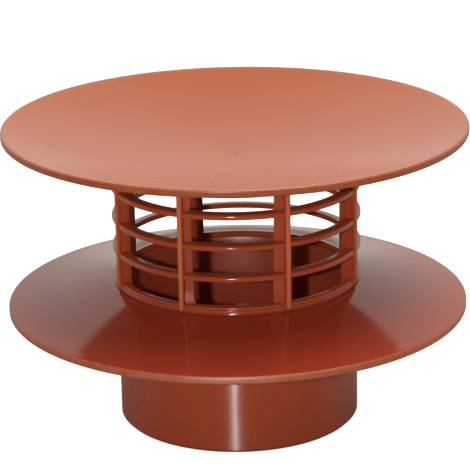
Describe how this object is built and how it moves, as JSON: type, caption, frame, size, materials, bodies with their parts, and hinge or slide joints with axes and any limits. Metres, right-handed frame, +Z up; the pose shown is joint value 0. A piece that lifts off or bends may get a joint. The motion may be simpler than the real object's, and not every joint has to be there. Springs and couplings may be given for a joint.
{
  "type": "static roof vent",
  "caption": "Static roof vent: a shallow dished cap over a round barred cage, on a pipe socket with a wide sloping rain skirt.",
  "frame": {"origin": "on the vent's axis, at the underside of the socket", "axes": "+Z up along the vent's axis, -Y towards the front of the picture"},
  "size_m": [0.203, 0.203, 0.133],
  "materials": {
    "flange_plastic": "glossy moulded brick red",
    "cage_plastic": "glossy moulded brick red",
    "cap_plastic": "semi-gloss moulded brick red"
  },
  "bodies": {
    "root": {"socket_flange": "flange_plastic", "grille_cage": "cage_plastic", "cap_dish": "cap_plastic"}
  },
  "joints": []
}
